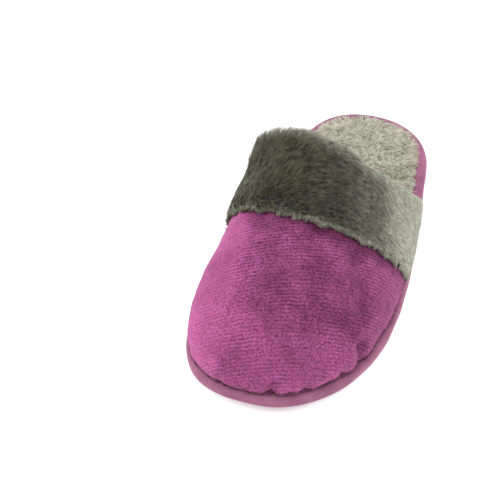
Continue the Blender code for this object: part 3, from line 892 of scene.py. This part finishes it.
# %% Cut the footbed's pad
STITCHES, STITCH_SIZE = 46, 0.0026
PAD_DRAWN_IN = 0.0022
footbed = soft_copy("insole", "footbed_pad", 1)
places, normals = points_of(footbed)
top = normals[:, 2] > 0.3
places[:, 2] -= np.where(top, PAD_DRAWN_IN, 0) * ease(places[:, 2], 0.0102, 0.0125)
move_points(footbed, places)
pick(footbed)
footbed.data.remesh_voxel_size = 0.0024
bpy.ops.object.voxel_remesh()
before, normals = points_of(footbed)

stitches = scatter(footbed, STITCHES, 32, normals[:, 2] > 0.8)[0]
to_stitch = np.min([np.linalg.norm(before - s, axis=1) for s in stitches], axis=0)
held = footbed.vertex_groups.new(name="held")
fixed = (normals[:, 2] < 0.5) | (to_stitch < STITCH_SIZE)
held.add(np.flatnonzero(fixed).tolist(), 1.0, "REPLACE")
print("pad:", len(before), "points, held:", int(fixed.sum()))

# %% [markdown]
# ### Its swelling
# Stitched padding swells unevenly, in a way that is hard to guess, so Blender's cloth simulation
# blows the pad up from inside. It swells too far for a thin footbed, so the distance that each
# point moved is then held to a cap, which keeps the unevenness and loses the height.

# %% Blow the pad up
LAST_FRAME = 20
PAD_CAP = 0.0016  # how far the pad may swell
swelling = footbed.modifiers.new("swelling", "CLOTH")
swelling.settings.vertex_group_mass = "held"
swelling.settings.use_pressure = True
swelling.settings.uniform_pressure_force = 4.0
swelling.settings.shrink_min = -0.05
swelling.settings.effector_weights.gravity = 0.0
swelling.point_cache.frame_start, swelling.point_cache.frame_end = 1, LAST_FRAME
for number in range(1, LAST_FRAME + 1):
    bpy.context.scene.frame_set(number)
bpy.ops.object.modifier_apply(modifier=swelling.name)
bpy.context.scene.frame_set(1)
after, _ = points_of(footbed)
moved = after - before
far = np.linalg.norm(moved, axis=1)[:, None]
print("footbed swelled by up to", round(float(far.max()) * 1000, 2), "mm before the cap")
kept = PAD_CAP * np.tanh(far / PAD_CAP) / np.maximum(far, 1e-9)
move_points(footbed, before + moved * kept)
smooth = footbed.modifiers.new("smooth", "SUBSURF")
smooth.levels = smooth.render_levels = 1
bpy.ops.object.modifier_apply(modifier=smooth.name)
bpy.ops.object.shade_smooth()
print("footbed:", len(footbed.data.vertices), "points")

# %% [markdown]
# ### The footbed's hairs
# They are paler than the cuff's, and trodden into small curly tufts with pits between them, where
# painted shade darkens the hairs. Pits painted on would stay flat, so hairs whose tips fall into a
# pit are pushed down as well as painted darker.
# Hairs near the rim lean outwards over it. Few are needed under the vamp, where little is seen.

# %% Grow the footbed's hairs
FOOTBED_PIECES, OPEN_HAIRS, DEEP_HAIRS = 2, 11000, 1500
FOOTBED_HAIR, FOOTBED_THICKNESS, PITS, PIT_DEPTH = 0.0046, 0.00023, 260, 0.0012
footbed_hair = fur_finish("footbed_hair", DARK_FUR, ((0.50, 0.49, 0.37), (0.92, 0.90, 0.74)))
felt, shader, place, _ = new_finish("footbed_backing")
tangle = place.noise(500.0, 3.0, 0.6)
feed(shader, "Base Color", tangle.clipped(0.3, 0.7).mix((0.30, 0.30, 0.22), (0.55, 0.54, 0.42)))
feed(shader, "Normal", place.bump(tangle, 0.0008, 0.8))
shader.inputs["Roughness"].default_value = 0.95
footbed.data.materials.append(felt)
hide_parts("insole")
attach(footbed, "root")

places, normals = points_of(footbed)
top = normals[:, 2] > 0.3
pits = tree_of(scatter(footbed, PITS, 299, top & (places[:, 1] > -0.02))[0])
sides = tree_of(places[(normals[:, 2] < 0.5) & (places[:, 2] > 0.0085)])
pit_size = np.random.default_rng(298).uniform(0.0009, 0.0022, PITS)
for number in range(FOOTBED_PIECES):
    spots, facing = scatter(footbed, OPEN_HAIRS, 300 + number, top & (places[:, 1] > -0.03))
    under_vamp = top & (places[:, 1] < -0.028)
    deep, deep_facing = scatter(footbed, DEEP_HAIRS, 310 + number, under_vamp)
    spots, facing = np.concatenate([spots, deep]), np.concatenate([facing, deep_facing])
    swirl = soft_noise(spots, 0.02, 41) * 2.5
    way = np.stack([np.cos(swirl) * 0.8 + 0.2, np.sin(swirl) + 0.3, swirl * 0], 1)
    to_side = np.array([sides.find(Vector(s))[2] for s in spots])
    brim = (1 - ease(to_side, 0.001, 0.0045)) * ease(np.abs(spots[:, 1] - 0.03), 0.01, 0.06)
    to_heel = np.maximum(spots[:, 1] - 0.085, 0)
    outwards = unit(np.stack([spots[:, 0] * 2, to_heel, np.zeros(len(spots))], 1))
    way = way * (1 - brim)[:, None] + outwards * (brim * 0.5)[:, None]
    lengths = FOOTBED_HAIR + 0.0018 * brim * ease(spots[:, 1], 0.07, 0.11)
    lifts = np.full(len(spots), 0.50)
    middles, tips, tone = comb(spots, facing, way, 0.6, lengths, lifts, 12, 400 + number)
    found = [pits.find(Vector(t)) for t in tips]
    in_pit = np.array([1 - ease(f[2], 0.6 * pit_size[f[1]], 1.3 * pit_size[f[1]]) for f in found])
    # Painted shade in the pits: the hairs there are darker in zone and tone.
    zone = 1.0 + 0.1 * soft_noise(spots, 0.03, 43) - 0.65 * in_pit
    tips[:, 2] -= PIT_DEPTH * in_pit
    tint = np.stack([tone * 0.60 + 0.36 - 0.2 * in_pit, np.clip(zone, 0, 1)], 1)
    name = f"footbed_hair_{number}"
    piece = hair_mesh(name, spots, middles, tips, FOOTBED_THICKNESS, tint, footbed_hair)
print("footbed hairs:", FOOTBED_PIECES * (OPEN_HAIRS + DEEP_HAIRS))

# %% [markdown]
# ### The lining
# Inside, the vamp is lined with fur like the cuff's. A dark skin alone would look hollow through
# the throat, so it has real hairs, but few. Low down they are longer and lie over the sole's
# ledge: their bends and tips are kept over it.

# %% Line the vamp
LINING_HAIRS, LINING_THICKNESS = 9000, 0.00024
LINING_HAIR, LOW_EXTRA, LINING_GAP = 0.0045, 0.0035, 0.0003
lining_hair = fur_finish("lining_hair", DARK_FUR, PALE_FUR)
vamp.data.materials.append(backing)
inside = ~outer_of_vamp
lined = [int(all(inside[v] for v in face.vertices)) for face in vamp.data.polygons]
vamp.data.polygons.foreach_set("material_index", np.array(lined, np.int32))
spots, facing = scatter(vamp, LINING_HAIRS, 500, inside)
low = 1 - ease(spots[:, 2], 0.014, 0.022)
way = np.stack([np.full(len(spots), 0.2), 1 - low, -1.5 * low], 1)
lengths = LINING_HAIR + LOW_EXTRA * low
middles, tips, tone = comb(spots, facing, way, 0.5, lengths, 0.7 + 0.45 * low, 9, 501)
stay_over_ledge(middles, LINING_GAP)
stay_over_ledge(tips, LINING_GAP)
tint = np.stack([tone, 0.16 + 0.25 * low], 1)
piece = hair_mesh("lining_hair_0", spots, middles, tips, LINING_THICKNESS, tint, lining_hair)
print("lining hairs:", len(spots))

# %% [markdown]
# ### The seam's fuzz
# Where the velour is sewn down to the sole its pile is crushed and cut, so short magenta fibres
# stick out over the seam and make its line ragged. Without them the vamp would end in a clean
# line, which no sewn edge has, and bump alone can't break an outline.

# %% Grow the seam's fuzz
FUZZ_HAIRS, FUZZ_BAND, FUZZ_THICKNESS = 4500, 0.0030, 0.00022
FUZZ_HAIR, FUZZ_UNEVEN, FUZZ_GAP = 0.0016, 0.0007, -0.0004
DARK_FUZZ = ((0.045, 0.005, 0.022), (0.26, 0.045, 0.14))
PALE_FUZZ = ((0.20, 0.035, 0.11), (0.58, 0.16, 0.38))
places, _ = points_of(vamp)
at_foot = outer_of_vamp & (over_ledge(places) < FUZZ_BAND)
spots, facing = scatter(vamp, FUZZ_HAIRS, 800, at_foot)
way = np.tile((0.0, 0.0, -1.0), (len(spots), 1))
lengths = FUZZ_HAIR + FUZZ_UNEVEN * soft_noise(spots, 0.005, 803)
middles, tips, tone = comb(spots, facing, way, 0.8, lengths, np.full(len(spots), 0.6), 7, 801)
stay_over_ledge(middles, FUZZ_GAP)
stay_over_ledge(tips, FUZZ_GAP)
fuzz = fur_finish("velour_fuzz", DARK_FUZZ, PALE_FUZZ)
zone = np.clip(0.45 + 0.35 * soft_noise(spots, 0.012, 802), 0, 1)
tint = np.stack([tone, zone], 1)
piece = hair_mesh("seam_fuzz", spots, middles, tips, FUZZ_THICKNESS, tint, fuzz)
print("seam fuzz:", len(spots), "fibres")
